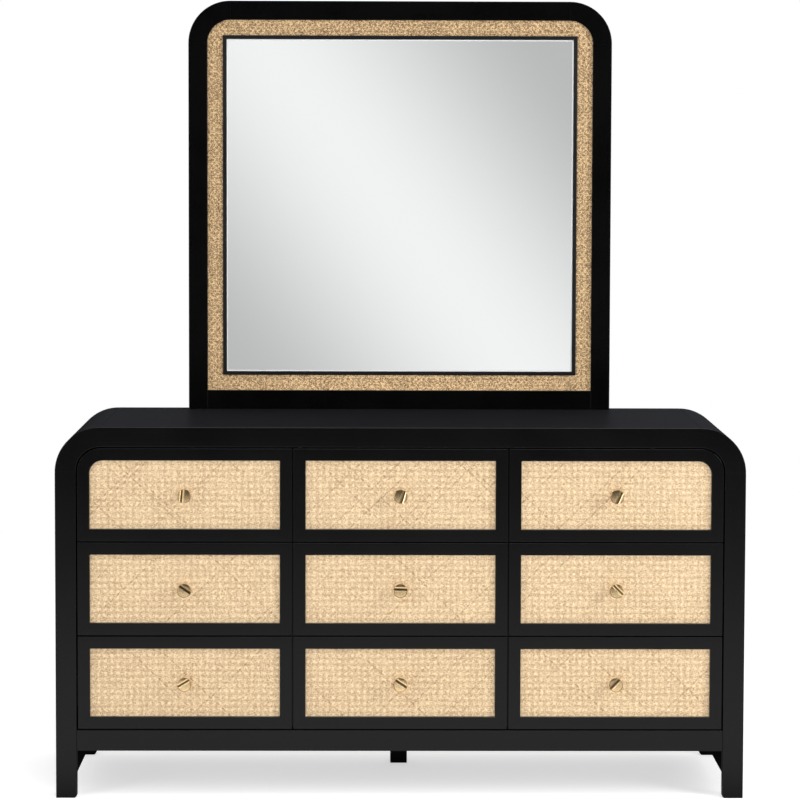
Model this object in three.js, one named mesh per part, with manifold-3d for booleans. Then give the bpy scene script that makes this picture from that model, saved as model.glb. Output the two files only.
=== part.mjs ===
// Nine-drawer dresser with cane drawer fronts and a standing mirror, in millimetres.
// X runs to the right, Y to the back and Z up. The origin is on the floor, under the middle
// of the whole object, from the knobs' faces to the back of the mirror's supports.
import * as THREE from 'three';
import { mergeVertices } from 'three/addons/utils/BufferGeometryUtils.js';
import Module from 'manifold-3d';

const wasm = await Module();
wasm.setup();

// Case, outside sizes
const caseWidth = 1600;
const caseDepth = 457;
const caseHeight = 867;
const shoulderRadius = 105; // round top corner, outside

// Case boards
const topBand = 46; // height of the top's front and back edges
const stileWidth = 48.5; // legs, seen from the front
const stileDepth = 20;
const boardThick = 22;
const legChamfer = 5; // on a leg's inner lower corner
const apronHeight = 48.5;
const apronClear = 111; // floor to the apron's lower edge
const sideClear = 58; // floor to the side panels' lower edge
const bottomThick = 18;
const backThick = 6;
const backLap = 12; // how far the back panel laps onto the frame round it
const centreLegWidth = 41;
const centreLegSetback = 352; // case front to the centre leg's front
const seatGap = 0.25; // play between a panel and the rabbet or frame that holds it

// Drawers
const columns = 3;
const rows = 3;
const drawerGap = 3; // between neighbouring fronts, and round them
const frontThick = 22;
const frontClear = 0.5; // between the fronts and the boards behind them
const frameWidth = 28.25; // the black frame round each cane panel
const windowRadius = 31; // the window's corner under a round shoulder
const caneRecess = 7;
const caneThick = 2;
const boxWall = 12;
const boxDepth = 400;
const boxHeight = 150;
const boxLift = 24; // lower edge of the front to the lower edge of the box
const boxBottomLift = 10;
const boxBottomThick = 6;

// Drawer runners: a lipped channel on the case, with a flanged channel caught inside it
const runnerRoom = 12.5; // between a drawer box and the board beside it
const runnerSteel = 1.5;
const runnerLift = 60; // lower edge of the box to the runner's middle
const runnerLength = 380;
const runnerSetback = 6; // case front boards to the front end of a runner
const runnerSeat = 0.5; // how deep a runner's web is let into its board
const channelReach = 9.5; // the case member's lips off its board
const channelHalf = 18; // half its height
const channelMouth = 11; // half the slot between its lips
const flangeReach = 5; // the drawer member's flanges off the case board
const flangeHalf = 14.5;
const webHalf = 9; // half the height of its web
const battenHeight = 70;

// Knobs: a flat-domed disc on a neck, with a scooped groove beside the middle of its face
const knobDiameter = 32;
const knobReach = 26; // from the drawer fronts to the middle of the face
const domeRise = 1.4;
const footRadius = 9;
const neckRadius = 6;
const grooveRadius = 6.2;
const grooveDepth = 3.2;
const grooveOffset = 5.2; // the groove's middle off the disc's
const knobSides = 24;
const knobTurns = [85, -107, -114, -34, -2, -45, 31, -34, 46]; // each groove's angle from level, degrees

// Mirror
const mirrorWidth = 1037;
const mirrorHeight = 1002;
const mirrorThick = 36;
const mirrorRadius = 103; // round top corner of the frame, outside
const mirrorFrameWidth = 46;
const mirrorBorder = 38; // cane strip inside the frame
const mirrorRecess = 8; // frame face to cane face
const beadWidth = 9.5;
const beadSetback = 2; // frame face to bead face
const beadLap = 3; // how far the bead covers the glass
const glassThick = 4;
const backingThick = 9;
const supportWidth = 44;
const supportThick = 18;
const supportBottom = 480;
const supportTop = 1560;

const arcSteps = 10; // ExtrudeGeometry cuts an arc into twice this many straight lines

// Planes and edges worked out from the sizes above
const frontY = (knobReach - caseDepth - supportThick) / 2;
const backY = frontY + caseDepth;
const innerFrontY = frontY + stileDepth;
const innerBackY = backY - stileDepth;
const sideX = caseWidth / 2;
const stileX = sideX - stileWidth;
const skinX = sideX - boardThick; // inner face of a side panel's skin
const openingRadius = shoulderRadius - stileWidth;
const openingTop = caseHeight - topBand;
const openingBottom = apronClear + apronHeight;
const shoulderZ = caseHeight - shoulderRadius;
const shoulderX = sideX - shoulderRadius;
const openingWidth = 2 * stileX;
const openingHeight = openingTop - openingBottom;
const frontWidth = (openingWidth - (columns + 1) * drawerGap) / columns;
const frontHeight = (openingHeight - (rows + 1) * drawerGap) / rows;
const pitchX = frontWidth + drawerGap;
const pitchZ = frontHeight + drawerGap;
const boxWidth = pitchX - boardThick - 2 * runnerRoom;
const boardsFrontY = frontY + frontThick + frontClear; // boards behind the drawer fronts start here

const lacquer = new THREE.MeshStandardMaterial({ color: 0x1c1c1d, roughness: 0.45, metalness: 0 });
const cane = new THREE.MeshStandardMaterial({ color: 0xe4c89e, roughness: 0.7, metalness: 0 });
const brass = new THREE.MeshStandardMaterial({ color: 0xb9a578, roughness: 0.25, metalness: 1 });
const palePly = new THREE.MeshStandardMaterial({ color: 0xd9c3a0, roughness: 0.6, metalness: 0 });
const hardboard = new THREE.MeshStandardMaterial({ color: 0x4a3b2e, roughness: 0.8, metalness: 0 });
const silvered = new THREE.MeshStandardMaterial({ color: 0xe4e6e6, roughness: 0.03, metalness: 1 });

const dresser = new THREE.Group();

// --- Solids -----------------------------------------------------------------------------

function solidOf(geometry) {
  const bare = geometry.clone();
  bare.deleteAttribute('normal');
  bare.deleteAttribute('uv');
  const merged = mergeVertices(bare, 1e-4);
  return new wasm.Manifold(new wasm.Mesh({
    numProp: 3,
    vertProperties: new Float32Array(merged.attributes.position.array),
    triVerts: new Uint32Array(merged.index.array),
  }));
}

function geometryOf(solid) {
  const mesh = solid.getMesh();
  const geometry = new THREE.BufferGeometry();
  geometry.setAttribute('position', new THREE.BufferAttribute(new Float32Array(mesh.vertProperties), 3));
  geometry.setIndex(new THREE.BufferAttribute(new Uint32Array(mesh.triVerts), 1));
  geometry.computeVertexNormals();
  return geometry;
}

// A square-edged board between two corners
function block(x0, x1, y0, y1, z0, z1) {
  const box = new THREE.BoxGeometry(x1 - x0, y1 - y0, z1 - z0);
  return solidOf(box.translate((x0 + x1) / 2, (y0 + y1) / 2, (z0 + z1) / 2));
}

// A shape drawn in X and Z, as deep as y0 to y1
function boardAlongY(shape, y0, y1) {
  const geometry = new THREE.ExtrudeGeometry(shape, {
    depth: y1 - y0, bevelEnabled: false, curveSegments: arcSteps,
  });
  const toY = new THREE.Matrix4().makeBasis(
    new THREE.Vector3(1, 0, 0), new THREE.Vector3(0, 0, 1), new THREE.Vector3(0, -1, 0));
  return solidOf(geometry.applyMatrix4(toY).translate(0, y1, 0));
}

// A shape drawn in Y and Z, as wide as x0 to x1
function boardAlongX(shape, x0, x1) {
  const geometry = new THREE.ExtrudeGeometry(shape, { depth: x1 - x0, bevelEnabled: false });
  const toX = new THREE.Matrix4().makeBasis(
    new THREE.Vector3(0, 1, 0), new THREE.Vector3(0, 0, 1), new THREE.Vector3(1, 0, 0));
  return solidOf(geometry.applyMatrix4(toX).translate(x0, 0, 0));
}

// The same solid on the other side of the middle plane
function mirrored(solid) {
  const geometry = geometryOf(solid).scale(-1, 1, 1);
  const order = geometry.index.array;
  for (let i = 0; i < order.length; i += 3) {
    [order[i], order[i + 1]] = [order[i + 1], order[i]];
  }
  return solidOf(geometry);
}

function polygon(points) {
  return new THREE.Shape(points.map(([u, v]) => new THREE.Vector2(u, v)));
}

function rectangle(halfWidth, bottom, top) {
  return polygon([[-halfWidth, bottom], [halfWidth, bottom], [halfWidth, top], [-halfWidth, top]]);
}

// Straight sides and foot, with both top corners round
function arch(halfWidth, bottom, top, radius) {
  const shape = new THREE.Shape();
  shape.moveTo(-halfWidth, bottom);
  shape.lineTo(halfWidth, bottom);
  shape.absarc(halfWidth - radius, top - radius, radius, 0, Math.PI / 2);
  shape.absarc(radius - halfWidth, top - radius, radius, Math.PI / 2, Math.PI);
  shape.closePath();
  return shape;
}

// A rectangle round the origin, with its top corner round on side -1 (left), 1 (right) or 0 (none)
function cornerRectangle(width, height, radius, side) {
  const x = width / 2;
  const z = height / 2;
  const shape = new THREE.Shape();
  shape.moveTo(-x, -z);
  shape.lineTo(x, -z);
  if (side > 0) {
    shape.absarc(x - radius, z - radius, radius, 0, Math.PI / 2);
  } else {
    shape.lineTo(x, z);
  }
  if (side < 0) {
    shape.absarc(radius - x, z - radius, radius, Math.PI / 2, Math.PI);
  } else {
    shape.lineTo(-x, z);
  }
  shape.closePath();
  return shape;
}

function addPiece(name, solid, finish, parent = dresser) {
  const mesh = new THREE.Mesh(geometryOf(solid), finish.clone());
  mesh.name = name;
  parent.add(mesh);
  return mesh;
}

// One piece on the left and its mirror image on the right
function addPair(name, leftSolid, finish) {
  addPiece(`${name}_left`, leftSolid, finish);
  addPiece(`${name}_right`, mirrored(leftSolid), finish);
}

// --- Drawer runners -----------------------------------------------------------------------

const runnerFrontY = innerFrontY + runnerSetback;

// Both members are drawn by how far they stand off the case board, and up from their middle
const lipInside = channelReach - runnerSteel;
const caseMember = [
  [-runnerSeat, -channelHalf], [channelReach, -channelHalf], [channelReach, -channelMouth],
  [lipInside, -channelMouth], [lipInside, runnerSteel - channelHalf],
  [runnerSteel, runnerSteel - channelHalf], [runnerSteel, channelHalf - runnerSteel],
  [lipInside, channelHalf - runnerSteel], [lipInside, channelMouth],
  [channelReach, channelMouth], [channelReach, channelHalf], [-runnerSeat, channelHalf],
];
const flangeFace = flangeReach - runnerSteel;
const webFace = runnerRoom - runnerSteel;
const drawerMember = [
  [runnerRoom + runnerSeat, -webHalf], [flangeReach, -webHalf], [flangeReach, -flangeHalf],
  [flangeFace, -flangeHalf], [flangeFace, runnerSteel - webHalf], [webFace, runnerSteel - webHalf],
  [webFace, webHalf - runnerSteel], [flangeFace, webHalf - runnerSteel], [flangeFace, flangeHalf],
  [flangeReach, flangeHalf], [flangeReach, webHalf], [runnerRoom + runnerSeat, webHalf],
];

// One member: faceX is the case board's face, side the way that the drawer lies from it
function runner(section, faceX, side, middleZ, y0) {
  const points = section.map(([off, up]) => [faceX + side * off, middleZ + up]);
  return boardAlongY(polygon(points), y0, y0 + runnerLength);
}

function rowBottom(row) {
  return openingTop - (row + 1) * pitchZ;
}

function runnerZ(row) {
  return rowBottom(row) + boxLift + runnerLift;
}

// --- Case -----------------------------------------------------------------------------------

// The back panel lies in a rabbet cut into everything round it
function backOutline(play) {
  return arch(stileX + backLap + play, openingBottom - backLap - play, openingTop + backLap + play,
    openingRadius + backLap + play);
}
const rabbet = boardAlongY(backOutline(seatGap), backY - backThick - seatGap, backY + 1);

function topPanel() {
  const section = polygon([
    [frontY, openingTop], [innerFrontY, openingTop], [innerFrontY, caseHeight - boardThick],
    [innerBackY, caseHeight - boardThick], [innerBackY, openingTop], [backY, openingTop],
    [backY, caseHeight], [frontY, caseHeight],
  ]);
  return boardAlongX(section, -shoulderX, shoulderX).subtract(rabbet);
}

// A quarter-round shoulder: a bent shell with a thicker rib at the front and at the back
function shoulder() {
  const bend = new THREE.Shape();
  bend.absarc(-shoulderX, shoulderZ, shoulderRadius, Math.PI / 2, Math.PI);
  bend.absarc(-shoulderX, shoulderZ, shoulderRadius - boardThick, Math.PI, Math.PI / 2, true);
  bend.closePath();
  const rib = new THREE.Shape();
  rib.absarc(-shoulderX, shoulderZ, shoulderRadius, Math.PI / 2, Math.PI);
  rib.lineTo(-stileX, shoulderZ);
  rib.absarc(openingRadius - stileX, openingTop - openingRadius, openingRadius, Math.PI, Math.PI / 2, true);
  rib.closePath();
  return boardAlongY(bend, frontY, backY)
    .add(boardAlongY(rib, frontY, innerFrontY))
    .add(boardAlongY(rib, innerBackY, backY))
    .subtract(rabbet);
}

// The skin, its lower rail, and for each row a batten that carries the outer drawer's runner
function sidePanel() {
  const battenX = stileX - drawerGap - (frontWidth - boxWidth) / 2 + runnerRoom;
  let panel = block(-sideX, -skinX, innerFrontY, innerBackY, sideClear, shoulderZ);
  panel = panel.add(block(-skinX - 1, -stileX, innerFrontY, innerBackY,
    sideClear, openingBottom - bottomThick));
  for (let row = 0; row < rows; row += 1) {
    const z = runnerZ(row);
    panel = panel
      .add(block(-skinX - 1, -battenX, boardsFrontY, innerBackY,
        z - battenHeight / 2, z + battenHeight / 2))
      .add(runner(caseMember, -battenX, 1, z, runnerFrontY));
  }
  return panel;
}

// A leg on the left, chamfered at the foot on the side of the opening
function leg(y0, y1) {
  const outline = polygon([
    [-sideX, 0], [-stileX - legChamfer, 0], [-stileX, legChamfer], [-stileX, shoulderZ],
    [-sideX, shoulderZ],
  ]);
  return boardAlongY(outline, y0, y1);
}

function partition() {
  const x = pitchX / 2;
  const panelY = backY - backThick - seatGap;
  const outline = polygon([
    [boardsFrontY, openingBottom], [panelY, openingBottom], [panelY, openingTop],
    [innerBackY, openingTop], [innerBackY, caseHeight - boardThick],
    [boardsFrontY, caseHeight - boardThick],
  ]);
  let board = boardAlongX(outline, -x - boardThick / 2, -x + boardThick / 2);
  for (let row = 0; row < rows; row += 1) {
    board = board
      .add(runner(caseMember, -x - boardThick / 2, -1, runnerZ(row), runnerFrontY))
      .add(runner(caseMember, -x + boardThick / 2, 1, runnerZ(row), runnerFrontY));
  }
  return board;
}

addPiece('top_panel', topPanel(), lacquer);
addPair('corner', shoulder(), lacquer);
addPair('side_panel', sidePanel(), lacquer);
addPair('front_leg', leg(frontY, innerFrontY), lacquer);
addPair('back_leg', leg(innerBackY, backY).subtract(rabbet), lacquer);
addPiece('front_apron', block(-stileX, stileX, frontY, innerFrontY, apronClear, openingBottom), lacquer);
addPiece('back_apron',
  block(-stileX, stileX, innerBackY, backY, apronClear, openingBottom).subtract(rabbet), lacquer);
addPiece('bottom_panel',
  block(-skinX, skinX, innerFrontY, innerBackY, openingBottom - bottomThick, openingBottom), lacquer);
addPiece('back_panel', boardAlongY(backOutline(0), backY - backThick, backY), hardboard);
addPair('partition', partition(), palePly);

const centreLegY = frontY + centreLegSetback;
addPiece('centre_leg', block(-centreLegWidth / 2, centreLegWidth / 2,
  centreLegY, centreLegY + centreLegWidth, 0, openingBottom - bottomThick), lacquer);

// --- Drawers, drawn round the middle of the front's face -----------------------------------

const windowWidth = frontWidth - 2 * frameWidth;
const windowHeight = frontHeight - 2 * frameWidth;
const frontRadius = openingRadius - drawerGap;
const caneBackY = caneRecess + caneThick;

function drawerFront(side) {
  const plate = boardAlongY(cornerRectangle(frontWidth, frontHeight, frontRadius, side), 0, frontThick);
  const hollow = cornerRectangle(windowWidth, windowHeight, windowRadius, side);
  return plate.subtract(boardAlongY(hollow, -1, caneBackY));
}

function drawerCane(side) {
  const outline = cornerRectangle(windowWidth - 2 * seatGap, windowHeight - 2 * seatGap,
    windowRadius - seatGap, side);
  return boardAlongY(outline, caneRecess, caneBackY);
}

// Front, sides and back round a raised bottom, with a runner's moving member on each side
function drawerBox() {
  const x = boxWidth / 2;
  const y0 = frontThick;
  const y1 = y0 + boxDepth;
  const z0 = boxLift - frontHeight / 2;
  const z1 = z0 + boxHeight;
  const bottomZ = z0 + boxBottomLift;
  const inside = block(boxWall - x, x - boxWall, y0 + boxWall, y1 - boxWall,
    bottomZ + boxBottomThick, z1 + 1);
  const under = block(boxWall - x, x - boxWall, y0 + boxWall, y1 - boxWall, z0 - 1, bottomZ);
  const z = z0 + runnerLift;
  const y = runnerFrontY - frontY;
  return block(-x, x, y0, y1, z0, z1).subtract(inside).subtract(under)
    .add(runner(drawerMember, -x - runnerRoom, 1, z, y))
    .add(runner(drawerMember, x + runnerRoom, -1, z, y));
}

// The neck flares into the disc's rim, and the face closes on the axis
function knob() {
  const radius = knobDiameter / 2;
  const height = knobReach + caneRecess;
  const rimTop = height - domeRise;
  const profile = [
    [0, 0], [footRadius, 0], [footRadius, 2], [neckRadius, 4.5], [neckRadius, 15],
    [neckRadius + 2.5, 20], [radius - 1, 23.5], [radius, 25.5], [radius, rimTop - 1],
    [radius * 0.94, rimTop + 0.2], [radius * 0.6, height - 0.5], [0, height],
  ];
  const points = profile.map(([r, h]) => new THREE.Vector2(r, h));
  const turned = solidOf(new THREE.LatheGeometry(points, knobSides));
  const scoop = new THREE.CylinderGeometry(grooveRadius, grooveRadius, 2 * knobDiameter, 32)
    .rotateZ(Math.PI / 2)
    .translate(0, height - grooveDepth + grooveRadius, -grooveOffset);
  const grooved = geometryOf(turned.subtract(solidOf(scoop)));
  grooved.computeBoundingBox();
  const stretch = height / grooved.boundingBox.max.y; // the groove's lips stand at the full reach
  return solidOf(grooved.scale(1, stretch, 1).rotateX(Math.PI));
}

const shapedKnob = knob();
const shapedBox = drawerBox();
const shapedFronts = { '-1': drawerFront(-1), 0: drawerFront(0), 1: drawerFront(1) };
const shapedCanes = { '-1': drawerCane(-1), 0: drawerCane(0), 1: drawerCane(1) };

for (let row = 0; row < rows; row += 1) {
  for (let column = 0; column < columns; column += 1) {
    const number = row * columns + column;
    const side = row === 0 ? column - 1 : 0;
    const name = `drawer_${number + 1}`;
    const drawer = new THREE.Group();
    drawer.position.set((column - (columns - 1) / 2) * pitchX, frontY, rowBottom(row) + frontHeight / 2);
    addPiece(`${name}_front`, shapedFronts[side], lacquer, drawer);
    addPiece(`${name}_cane`, shapedCanes[side], cane, drawer);
    addPiece(`${name}_box`, shapedBox, palePly, drawer);
    const turnedKnob = addPiece(`${name}_knob`, shapedKnob, brass, drawer);
    turnedKnob.position.y = caneRecess;
    turnedKnob.rotation.y = -THREE.MathUtils.degToRad(knobTurns[number]);
    dresser.add(drawer);
  }
}

// --- Mirror -------------------------------------------------------------------------------------

const mirrorX = mirrorWidth / 2;
const mirrorFrontY = backY - mirrorThick;
const mirrorTop = caseHeight + mirrorHeight;
const insideX = mirrorX - mirrorFrameWidth;
const insideBottom = caseHeight + mirrorFrameWidth;
const insideTop = mirrorTop - mirrorFrameWidth;
const insideRadius = mirrorRadius - mirrorFrameWidth;
const borderY = mirrorFrontY + mirrorRecess;
const backingY = borderY + caneThick;
const glassY = backingY - glassThick;

function insideArch(play) {
  return arch(insideX - play, insideBottom + play, insideTop - play, insideRadius - play);
}

// The rectangle that lies a given way in from the cane border's inner edge
function beadRectangle(inset) {
  const inward = mirrorBorder + inset;
  return rectangle(insideX - inward, insideBottom + inward, insideTop - inward);
}

function mirrorFrame() {
  const outside = boardAlongY(arch(mirrorX, caseHeight, mirrorTop, mirrorRadius), mirrorFrontY, backY);
  const hollow = arch(insideX, caseHeight - 1, insideTop, insideRadius);
  return outside.subtract(boardAlongY(hollow, mirrorFrontY - 1, backY + 1));
}

// A square rod round the glass, rabbeted so that its face laps the glass
function bead() {
  const face = mirrorFrontY + beadSetback;
  return boardAlongY(beadRectangle(0), face, backingY)
    .subtract(boardAlongY(beadRectangle(beadWidth), face - 1, backingY + 1))
    .subtract(boardAlongY(beadRectangle(beadWidth - beadLap), glassY - seatGap, backingY + 1));
}

addPiece('mirror_frame', mirrorFrame(), lacquer);
addPiece('mirror_bottom_rail',
  block(-insideX, insideX, mirrorFrontY, backY, caseHeight, insideBottom), lacquer);
addPiece('mirror_backing', boardAlongY(insideArch(seatGap), backingY, backingY + backingThick), hardboard);
addPiece('mirror_cane_border', boardAlongY(insideArch(seatGap), borderY, backingY)
  .subtract(boardAlongY(beadRectangle(-seatGap), borderY - 1, backingY + 1)), cane);
addPiece('mirror_bead', bead(), lacquer);
addPiece('mirror_glass',
  boardAlongY(beadRectangle(beadWidth - beadLap + seatGap), glassY, backingY), silvered);
addPair('mirror_support', block(-mirrorX + (mirrorFrameWidth - supportWidth) / 2,
  -mirrorX + (mirrorFrameWidth + supportWidth) / 2, backY, backY + supportThick,
  supportBottom, supportTop), palePly);

export default dresser;
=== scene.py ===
import math
import random

import bmesh
import bpy
from mathutils import Matrix, Vector


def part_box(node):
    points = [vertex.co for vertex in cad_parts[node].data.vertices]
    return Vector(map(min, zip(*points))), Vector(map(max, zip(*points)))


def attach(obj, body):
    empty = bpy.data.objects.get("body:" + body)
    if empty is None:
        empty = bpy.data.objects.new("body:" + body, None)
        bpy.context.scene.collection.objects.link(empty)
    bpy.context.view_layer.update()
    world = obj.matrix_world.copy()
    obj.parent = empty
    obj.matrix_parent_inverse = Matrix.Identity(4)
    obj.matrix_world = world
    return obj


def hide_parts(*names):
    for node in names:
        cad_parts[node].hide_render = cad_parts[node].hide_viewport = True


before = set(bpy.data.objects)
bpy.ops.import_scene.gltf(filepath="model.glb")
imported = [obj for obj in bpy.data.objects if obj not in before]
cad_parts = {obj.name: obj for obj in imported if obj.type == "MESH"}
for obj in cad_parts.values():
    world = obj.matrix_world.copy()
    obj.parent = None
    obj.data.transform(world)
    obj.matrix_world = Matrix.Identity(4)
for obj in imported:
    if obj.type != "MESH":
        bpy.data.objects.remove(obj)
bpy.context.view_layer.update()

mm = 0.001
scene = bpy.context.scene
drawerNumbers = range(1, 10)
touch = 1e-6  # metres within which two points are one

camera = {
    "place": (-0.0618, -6.3986, 1.5417),
    "pitch": 3.4255,  # degrees down
    "yaw": 0.5455,  # degrees to the right
    "roll": 0.1644,
    "lens": 120.82,
    "sensor": 36,
    "shiftY": -0.13,
    "farthest": 100,
}


def addCamera():
    data = bpy.data.cameras.new("camera")
    data.lens = camera["lens"]
    data.sensor_width = camera["sensor"]
    data.shift_y = camera["shiftY"]
    data.clip_end = camera["farthest"]
    eye = bpy.data.objects.new("camera", data)
    scene.collection.objects.link(eye)
    eye.matrix_world = (
        Matrix.Translation(camera["place"])
        @ Matrix.Rotation(math.radians(-camera["yaw"]), 4, "Z")
        @ Matrix.Rotation(math.radians(90 - camera["pitch"]), 4, "X")
        @ Matrix.Rotation(math.radians(camera["roll"]), 4, "Z")
    )
    scene.camera = eye


studio = {
    "worldDiffuse": 0.52,  # strength of the surrounding light on matt surfaces
    "glossFront": 0.11,  # what satin and metal see in front of the dresser
    "glossBack": (0.035, 0.06),  # and behind it, on the left and on the right
    "backTint": (0.90, 0.93, 1.0, 1),
    "turn": (-0.2, 0.2),  # where the front turns into the back, and left into right
    "glossAbove": 2.5,
    "aboveFrom": (0.80, 0.95),  # the rise over which it comes in
    "floorHalf": 30,
    "floorColour": (0.92, 0.92, 0.915, 1),
    "floorLift": 0.55,
    "floorStretch": (0.6, 1, 1),  # a metre sideways counts less in the fading
    "floorFade": (2.2, 4.0),  # metres from the dresser where the floor turns plain white
    # how bright gloss sees the floor, by metres forwards; dim under the dresser as a painted shadow
    "floorGloss": ((0.0, 0.04), (0.55, 0.92), (2.0, 0.92), (3.4, 0.45), (5.5, 0.18), (8.0, 0.10)),
    "softboxes": {  # place, aimed at, width, height, power in watts, seen in gloss
        "overhead": ((0.5, -1.5, 3.3), (0, 0, 0.6), 2.4, 1.0, 22, True),
        "left": ((-3.2, -2.8, 1.6), (0, 0, 0.8), 1.2, 2.0, 26, True),
        "right": ((3.4, -2.4, 2.0), (0, 0, 0.8), 1.2, 2.0, 66, True),
        "front": ((0.3, -5.0, 1.2), (0, 0, 0.7), 2.4, 1.8, 62, False),
    },
}


def addSoftbox(name, place, target, width, height, power, glossy):
    data = bpy.data.lights.new(name, "AREA")
    data.shape = "RECTANGLE"
    data.size = width
    data.size_y = height
    data.energy = power
    lamp = bpy.data.objects.new(name, data)
    lamp.visible_glossy = glossy
    scene.collection.objects.link(lamp)
    aim = (Vector(target) - Vector(place)).to_track_quat("-Z", "Y")
    lamp.matrix_world = Matrix.Translation(place) @ aim.to_matrix().to_4x4()


addCamera()
for name, values in studio["softboxes"].items():
    addSoftbox(name, *values)
scene.view_settings.view_transform = "Standard"
print("camera and softboxes placed")


# an output socket: arithmetic on it adds Math nodes
class Value:
    def __init__(self, finish, socket):
        self.finish = finish
        self.socket = socket

    def __add__(self, other):
        return self.finish.math("ADD", self, other)

    def __radd__(self, other):
        return self.finish.math("ADD", other, self)

    def __sub__(self, other):
        return self.finish.math("SUBTRACT", self, other)

    def __rsub__(self, other):
        return self.finish.math("SUBTRACT", other, self)

    def __mul__(self, other):
        return self.finish.math("MULTIPLY", self, other)

    def __rmul__(self, other):
        return self.finish.math("MULTIPLY", other, self)


# a node tree under construction, of a material or of the world
class Finish:
    def __init__(self, owner):
        owner.use_nodes = True
        self.owner = owner
        self.tree = owner.node_tree
        self.tree.nodes.clear()

    def add(self, kind, settings=None, inputs=None, output=0):
        node = self.tree.nodes.new("ShaderNode" + kind)
        for name, setting in (settings or {}).items():
            if name == "stops":
                ramp = node.color_ramp.elements
                while len(ramp) < len(setting):
                    ramp.new(1)
                for element, (spot, level) in zip(ramp, setting):
                    element.position = spot
                    element.color = grey(level)
            else:
                setattr(node, name, setting)
        for name, value in (inputs or {}).items():
            if isinstance(value, Value):
                self.tree.links.new(value.socket, node.inputs[name])
            else:
                node.inputs[name].default_value = value
        return Value(self, node.outputs[output])

    def math(self, operation, *terms):
        return self.add("Math", {"operation": operation}, dict(enumerate(terms)))

    def mixed(self, factor, first, second):
        return self.add("Mix", {"data_type": "RGBA"}, {0: factor, 6: first, 7: second}, 2)

    # Object coordinates, stretched along the axes
    def place(self, stretch=(1, 1, 1)):
        coordinates = self.add("TexCoord", output="Object")
        return self.add("Mapping", {}, {"Vector": coordinates, "Scale": stretch})

    # the same, slower along the axis that the grain runs on
    def grained(self, along, slowness):
        stretch = [1, 1, 1]
        stretch[along] = slowness
        return self.place(stretch)

    def noise(self, place, scale, detail=3.0, roughness=0.55):
        inputs = {"Vector": place, "Scale": scale, "Detail": detail, "Roughness": roughness}
        return self.add("TexNoise", {}, inputs, "Fac")

    # small cells, each of its own tone
    def cells(self, scale):
        spots = self.add("TexVoronoi", {}, {"Vector": self.place(), "Scale": scale}, "Color")
        return self.part(spots, "X")

    def part(self, vector, axis):
        return self.add("SeparateXYZ", {}, {0: vector}, axis)

    def attribute(self, name):
        return self.add("Attribute", {"attribute_name": name}, output="Fac")

    def ray(self, kind):
        return self.add("LightPath", output=f"Is {kind} Ray")

    # a value moved from one span to another, held inside it
    def span(self, value, low, high, newLow, newHigh, course="LINEAR"):
        inputs = {"Value": value, 1: low, 2: high, 3: newLow, 4: newHigh}
        return self.add("MapRange", {"clamp": True, "interpolation_type": course}, inputs)

    def bump(self, height, strength, distance):
        return self.add("Bump", {}, {"Height": height, "Strength": strength, "Distance": distance})

    def glow(self, colour, strength=1.0):
        return self.add("Emission", {}, {"Color": colour, "Strength": strength})

    def surface(self, **inputs):
        shader = self.add("BsdfPrincipled", {}, inputs)
        self.close(shader)
        return self.owner

    def close(self, shader):
        kind = "World" if isinstance(self.owner, bpy.types.World) else "Material"
        node = self.tree.nodes.new("ShaderNodeOutput" + kind)
        self.tree.links.new(shader.socket, node.inputs["Surface"])


def newFinish(name):
    return Finish(bpy.data.materials.new(name))


def grey(level):
    return (level, level, level, 1)


# each lacquer's upper colour is paler, a painted sheen on faces that look up
lacquers = {
    "case": {
        "colour": (0.0012, 0.0012, 0.0014, 1),
        "paler": (0.0022, 0.0022, 0.0024, 1),
        "roughness": 0.20,
        "specular": 0.30,
        "upper": (0.0135, 0.0135, 0.0165, 1),  # faces that look up are duller, and paler as a painted sheen
        "upperRoughness": 0.12,
    },
    "mirror": {
        "colour": (0.0010, 0.0010, 0.0012, 1),
        "paler": (0.0016, 0.0016, 0.0018, 1),
        "roughness": 0.24,
        "specular": 0.22,
        "upper": (0.004, 0.004, 0.005, 1),
        "upperRoughness": 0.10,
    },
    "bead": {
        # paler than the case's black: a painted sheen for the grey band that the light gives the rounded
        # bead
        "colour": (0.007, 0.007, 0.0075, 1),
        "paler": (0.011, 0.011, 0.012, 1),
        "roughness": 0.32,
        "specular": 0.35,
        "upper": (0.009, 0.009, 0.010, 1),
        "upperRoughness": 0.0,
    },
    "inner": {  # a darker, duller copy of the black lacquer: painted shade on faces under the case
        "colour": (0.0010, 0.0010, 0.0012, 1),
        "paler": (0.0016, 0.0016, 0.0018, 1),
        "roughness": 0.55,
        "specular": 0.04,
        "upper": (0.0016, 0.0016, 0.0018, 1),
        "upperRoughness": 0.0,
    },
}
coat = {
    "pores": 600,
    "alongGrain": 0.05,  # the pores' scale along the board, to that across it
    "poreDepth": 0.12 * mm,
    "cloud": 5,
    "dust": 900,
    "roughening": (-0.03, 0.08, 0.05),  # all over, by the clouds and by the dust
    "upward": (0.80, 0.98),  # rise of a face's normal where it comes to look up
}


# satin black on an even close-grained wood, with a painted sheen on faces that look up; along is the axis
# that the grain runs on
def lacquerFinish(name, along, lacquer):
    finish = newFinish(name)
    pores = finish.noise(finish.grained(along, coat["alongGrain"]), coat["pores"], 4)
    cloud = finish.noise(finish.place(), coat["cloud"], 3)
    dust = finish.noise(finish.place(), coat["dust"], 1)
    tone = finish.span(cloud, 0.35, 0.65, 0, 1)
    normal = finish.add("NewGeometry", output="Normal")
    upward = finish.span(finish.part(normal, "Z"), *coat["upward"], 0, 1)
    plain = finish.mixed(tone, lacquer["colour"], lacquer["paler"])
    even, clouded, dusted = coat["roughening"]
    matt = lacquer["roughness"] + even + cloud * clouded + dust * dusted
    return finish.surface(**{
        # the upper colour on faces that look up is a painted sheen
        "Base Color": finish.mixed(upward, plain, lacquer["upper"]),
        "Roughness": matt + upward * lacquer["upperRoughness"],
        "Specular IOR Level": lacquer["specular"],
        "Normal": finish.bump(pores, 0.12, coat["poreDepth"]),
    })


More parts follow.
